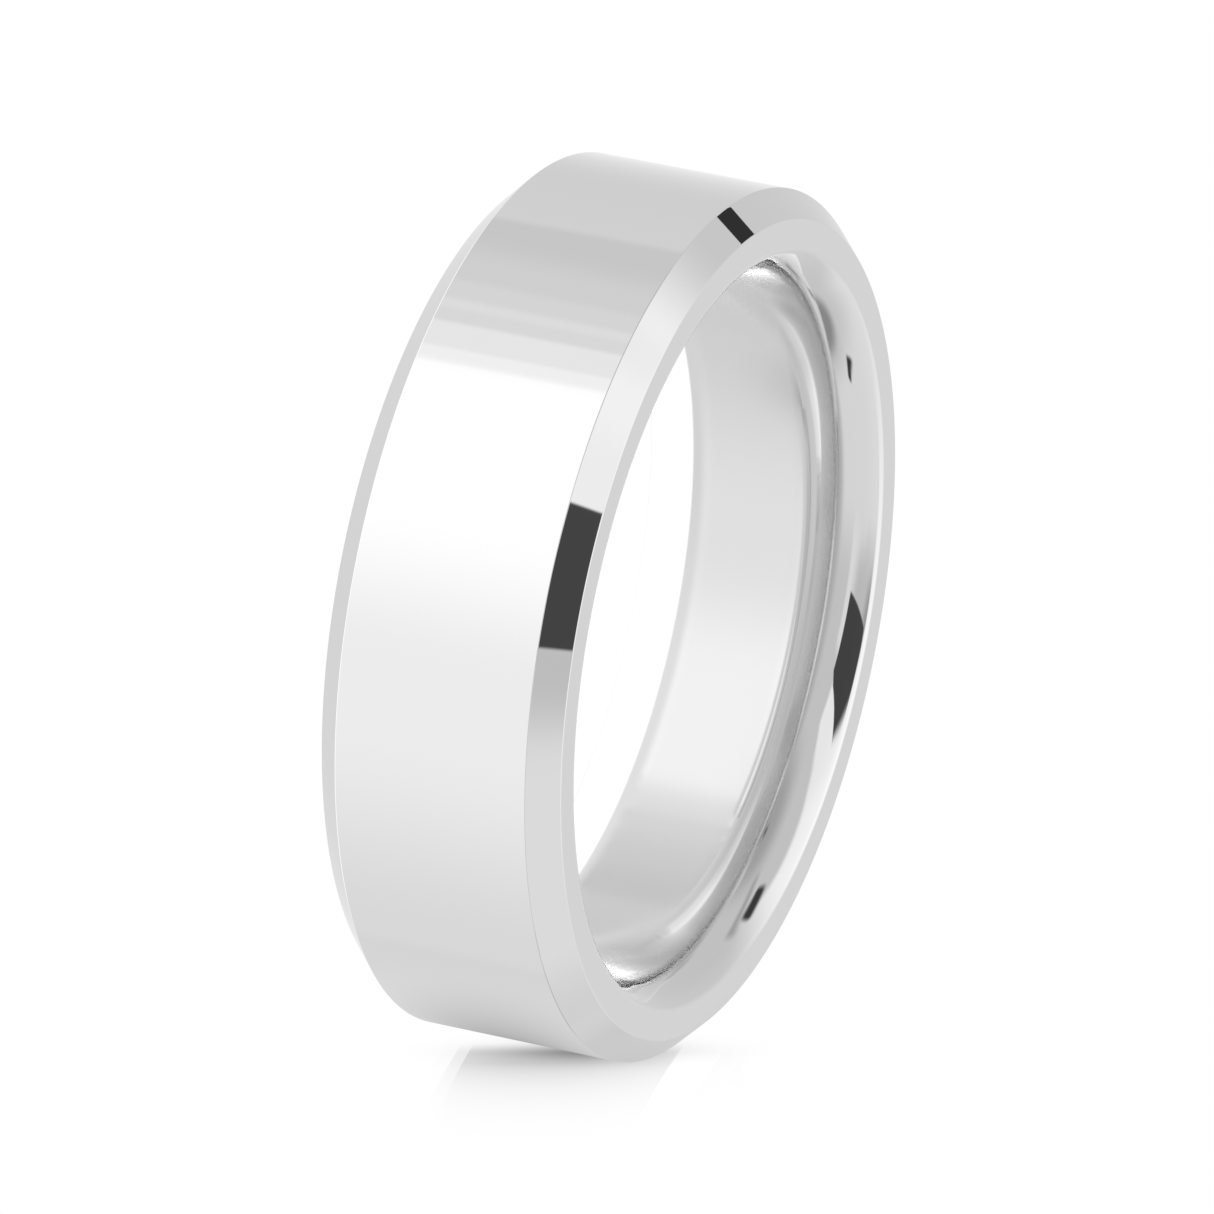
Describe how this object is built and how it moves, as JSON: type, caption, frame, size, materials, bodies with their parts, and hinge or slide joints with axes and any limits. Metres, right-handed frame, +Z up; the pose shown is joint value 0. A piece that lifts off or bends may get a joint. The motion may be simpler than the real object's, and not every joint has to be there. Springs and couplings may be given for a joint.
{
  "type": "wedding band",
  "caption": "Plain polished metal finger ring with a flat barrel, bevelled shoulders and a comfort-fit bore.",
  "frame": {"origin": "middle of the ring, on the finger axis, halfway between the two side faces", "axes": "+Y along the finger axis, +Z up with the ring standing on its barrel, +X to the right"},
  "size_m": [0.0206, 0.006, 0.0207],
  "materials": {
    "polished_metal": "mirror polished"
  },
  "bodies": {
    "root": {"band": "polished_metal"}
  },
  "joints": []
}
